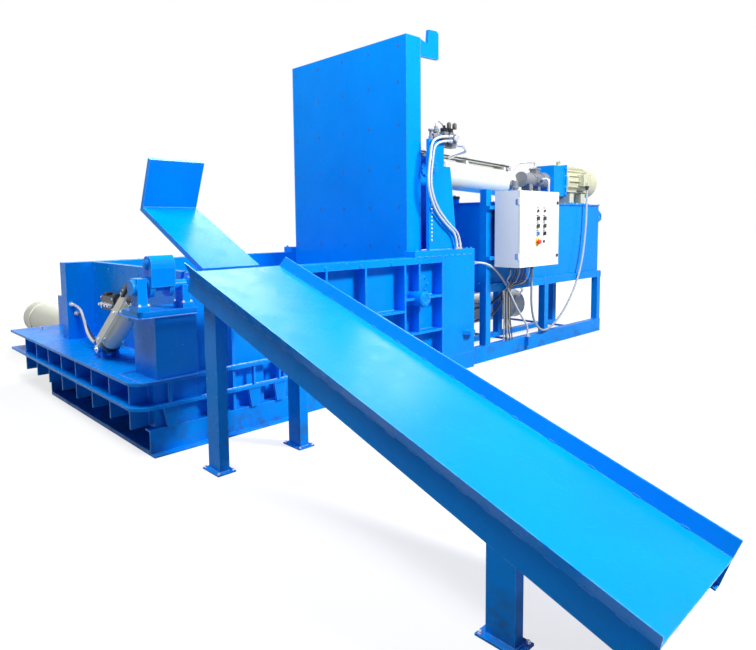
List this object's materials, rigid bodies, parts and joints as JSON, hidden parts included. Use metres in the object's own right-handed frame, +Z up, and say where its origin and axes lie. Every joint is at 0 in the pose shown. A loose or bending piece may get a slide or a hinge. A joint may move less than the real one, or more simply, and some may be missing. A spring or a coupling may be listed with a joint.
{
  "type": "recycling baler",
  "caption": "Hydraulic scrap metal baling press with hinged press lid, two rams, turn-out arm, sloping bale chute and power pack",
  "frame": {"origin": "on the floor under the middle of the press box", "axes": "X along the main ram towards the power pack, Y across the box away from the chute, Z up"},
  "size_m": [6.935, 8.3884, 3.552],
  "materials": {
    "blue_paint": "gloss",
    "beige_paint": "satin",
    "chromed_rod": "polished",
    "zinc_pipe": "satin",
    "grey_iron": "matte",
    "cabinet_paint": "satin",
    "black_plastic": "matte",
    "blue_plastic": "matte",
    "red_plastic": "gloss",
    "black_paint": "satin",
    "white_hose": "satin",
    "black_hose": "satin"
  },
  "bodies": {
    "frame": {"back_wall": "blue_paint", "base_frame": "blue_paint", "bell_housing": "blue_paint", "cabinet_shell": "cabinet_paint", "cable_motor": "black_hose", "chamber_end": "blue_paint", "chute_frame": "blue_paint", "chute_legs": "blue_paint", "chute_tray": "blue_paint", "floor_plate": "blue_paint", "front_wall": "blue_paint", "hose_lid_white_1": "white_hose", "hose_lid_white_2": "white_hose", "hose_pack_white": "white_hose", "hose_turnout_black": "black_hose", "hose_turnout_white": "white_hose", "left_wall": "blue_paint", "lid_manifold": "grey_iron", "lid_tower_back": "blue_paint", "lid_tower_front": "blue_paint", "main_cylinder": "beige_paint", "motor_body": "beige_paint", "motor_cowl": "beige_paint", "pedestal_box": "blue_paint", "pump": "grey_iron", "shaft_bearings": "blue_paint", "side_cylinder": "beige_paint", "side_ram_housing": "blue_paint", "tank": "blue_paint", "tank_stand": "blue_paint", "thrust_housing": "blue_paint", "turnout_clevis": "blue_paint", "valve_block": "black_paint"},
    "lid": {"lid": "blue_paint"},
    "lid_cylinder_front": {"lid_barrel_front": "beige_paint", "lid_pipes_front": "zinc_pipe"},
    "lid_piston_front": {"lid_rod_front": "chromed_rod"},
    "lid_cylinder_back": {"lid_barrel_back": "beige_paint", "lid_pipes_back": "zinc_pipe"},
    "lid_piston_back": {"lid_rod_back": "chromed_rod"},
    "main_ram": {"main_ram": "blue_paint", "main_ram_rod": "chromed_rod"},
    "side_ram": {"side_ram": "blue_paint", "side_ram_rod": "chromed_rod"},
    "arm": {"turnout_arm": "blue_paint", "turnout_shaft": "blue_paint"},
    "turnout_cylinder": {"turnout_barrel": "beige_paint", "switch_rail": "beige_paint"},
    "turnout_piston": {"turnout_rod": "chromed_rod"},
    "door": {"cabinet_door": "cabinet_paint"},
    "latch_upper": {"door_latch_upper": "black_plastic"},
    "latch_lower": {"door_latch_lower": "black_plastic"},
    "button_1": {"button_1": "black_plastic"},
    "button_2": {"button_2": "black_plastic"},
    "button_3": {"button_3": "black_plastic"},
    "button_4": {"button_4": "black_plastic"},
    "selector_1": {"selector_1": "blue_plastic"},
    "selector_2": {"selector_2": "black_plastic"},
    "emergency_stop": {"emergency_stop": "red_plastic"},
    "rotor": {"motor_rotor": "grey_iron"}
  },
  "joints": [
    {"name": "lid_hinge", "type": "hinge", "parent": "frame", "child": "lid", "pos_m": [1.23, 0, 0.97], "axis": [0, -1, 0], "range_deg": [0, 90]},
    {"name": "main_ram_slide", "type": "slide", "parent": "frame", "child": "main_ram", "axis": [-1, 0, 0], "range_m": [0, 1.98]},
    {"name": "side_ram_slide", "type": "slide", "parent": "frame", "child": "side_ram", "axis": [0, -1, 0], "range_m": [0, 1.35]},
    {"name": "arm_hinge", "type": "hinge", "parent": "frame", "child": "arm", "pos_m": [-1, -1.06, 1.175], "axis": [1, 0, 0], "range_deg": [-115, 0]},
    {"name": "turnout_cylinder_hinge", "type": "hinge", "parent": "frame", "child": "turnout_cylinder", "pos_m": [-1.572, -0.06, 0.6], "axis": [1, 0, 0], "range_deg": [-1, 5]},
    {"name": "turnout_rod_slide", "type": "slide", "parent": "turnout_cylinder", "child": "turnout_piston", "axis": [0, -0.8133, 0.5818], "range_m": [-0.2514, 0.001]},
    {"name": "door_hinge", "type": "hinge", "parent": "frame", "child": "door", "pos_m": [2.352, -1.43, 1.51], "axis": [0, 0, -1], "range_deg": [0, 120]},
    {"name": "latch_upper_turn", "type": "hinge", "parent": "door", "child": "latch_upper", "pos_m": [3.13, -1.43, 1.8075], "axis": [0, 1, 0], "range_deg": [0, 90]},
    {"name": "latch_lower_turn", "type": "hinge", "parent": "door", "child": "latch_lower", "pos_m": [3.13, -1.43, 1.1955], "axis": [0, 1, 0], "range_deg": [0, 90]},
    {"name": "selector_1_turn", "type": "hinge", "parent": "door", "child": "selector_1", "pos_m": [2.7026, -1.43, 1.459], "axis": [0, -1, 0], "range_deg": [0, 60]},
    {"name": "selector_2_turn", "type": "hinge", "parent": "door", "child": "selector_2", "pos_m": [2.842, -1.43, 1.459], "axis": [0, -1, 0], "range_deg": [0, 60]},
    {"name": "emergency_stop_push", "type": "slide", "parent": "door", "child": "emergency_stop", "axis": [0, 1, 0], "range_m": [0, 0.006], "stiffness_N_per_m": 1500},
    {"name": "rotor_spin", "type": "hinge", "parent": "frame", "child": "rotor", "pos_m": [4.3, -0.77, 2.13], "axis": [1, 0, 0], "continuous": true},
    {"name": "button_1_push", "type": "slide", "parent": "door", "child": "button_1", "axis": [0, 1, 0], "range_m": [0, 0.005], "stiffness_N_per_m": 1000},
    {"name": "button_2_push", "type": "slide", "parent": "door", "child": "button_2", "axis": [0, 1, 0], "range_m": [0, 0.005], "stiffness_N_per_m": 1000},
    {"name": "button_3_push", "type": "slide", "parent": "door", "child": "button_3", "axis": [0, 1, 0], "range_m": [0, 0.005], "stiffness_N_per_m": 1000},
    {"name": "button_4_push", "type": "slide", "parent": "door", "child": "button_4", "axis": [0, 1, 0], "range_m": [0, 0.005], "stiffness_N_per_m": 1000},
    {"name": "lid_cylinder_front_hinge", "type": "hinge", "parent": "frame", "child": "lid_cylinder_front", "pos_m": [1.57, -0.55, 2.17], "axis": [0, -1, 0], "range_deg": [-1, 38.47]},
    {"name": "lid_rod_front_slide", "type": "slide", "parent": "lid_cylinder_front", "child": "lid_piston_front", "axis": [-0.999, 0, 0.0454], "range_m": [-0.002, 1.6709]},
    {"name": "lid_cylinder_back_hinge", "type": "hinge", "parent": "frame", "child": "lid_cylinder_back", "pos_m": [1.57, 0.55, 2.17], "axis": [0, -1, 0], "range_deg": [-1, 38.47]},
    {"name": "lid_rod_back_slide", "type": "slide", "parent": "lid_cylinder_back", "child": "lid_piston_back", "axis": [-0.999, 0, 0.0454], "range_m": [-0.002, 1.6709]}
  ],
  "couplings": [
    {"joint": "arm_hinge", "follows": "lid_hinge", "ratio": -1.2778},
    {"joint": "turnout_cylinder_hinge", "follows": "lid_hinge", "ratio": 0.042793},
    {"joint": "turnout_rod_slide", "follows": "lid_hinge", "m_per_rad": -0.15939},
    {"joint": "lid_cylinder_front_hinge", "follows": "lid_hinge", "ratio": 0.41634},
    {"joint": "lid_rod_front_slide", "follows": "lid_hinge", "m_per_rad": 1.0625},
    {"joint": "lid_cylinder_back_hinge", "follows": "lid_hinge", "ratio": 0.41634},
    {"joint": "lid_rod_back_slide", "follows": "lid_hinge", "m_per_rad": 1.0625}
  ]
}
